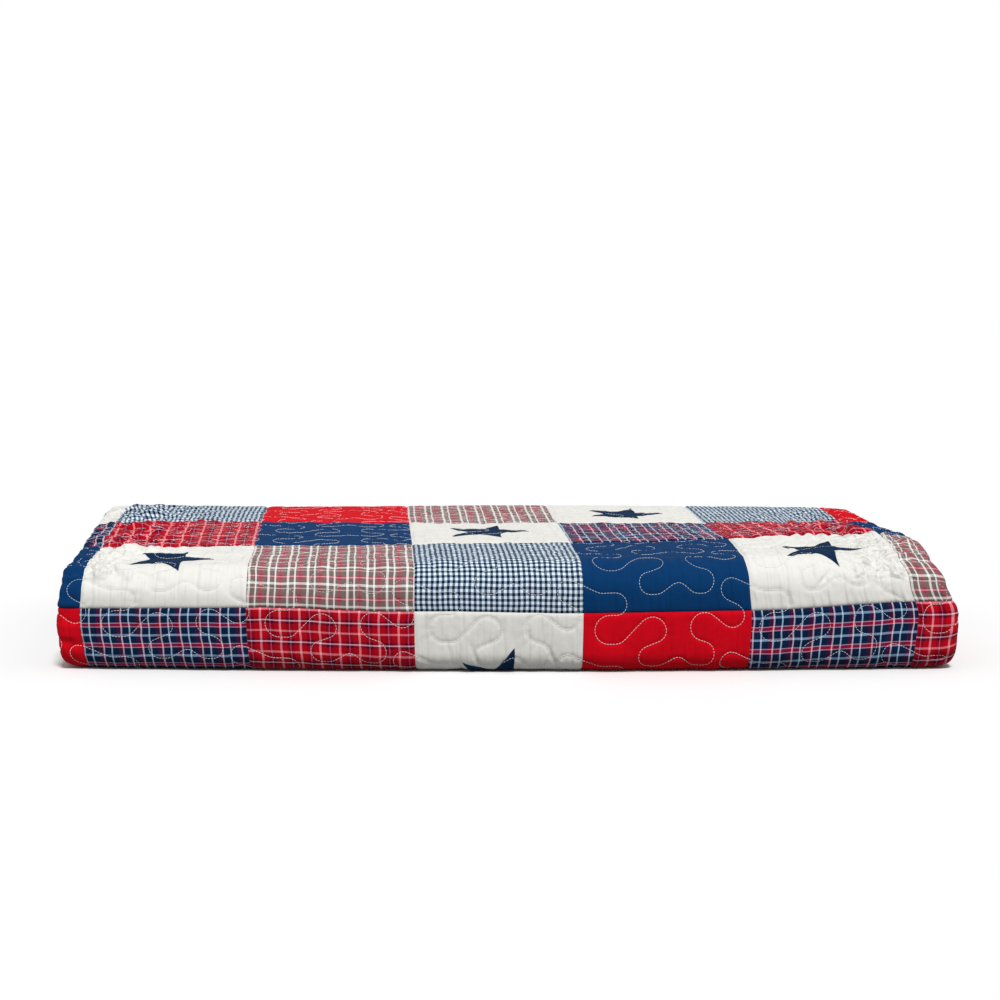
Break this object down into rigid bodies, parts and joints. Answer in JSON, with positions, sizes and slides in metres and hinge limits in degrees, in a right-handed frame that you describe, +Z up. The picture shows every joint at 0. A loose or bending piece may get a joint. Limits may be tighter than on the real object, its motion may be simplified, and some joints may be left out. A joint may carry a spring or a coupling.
{
  "type": "folded patchwork quilt blanket",
  "caption": "Patchwork bed quilt with star appliques, folded in thirds and then into a flat layered stack that rests on a surface",
  "frame": {"origin": "centre of the underside of the bounding box, on the surface that the folded quilt rests on", "axes": "+X along the long side of the folded stack, +Z up, and -Y towards the smooth folded front"},
  "size_m": [0.7222, 0.3794, 0.096],
  "materials": {
    "quilted_cotton": "matt woven cotton, pieced and quilted"
  },
  "bodies": {
    "root": {"quilt": "quilted_cotton"}
  },
  "joints": []
}
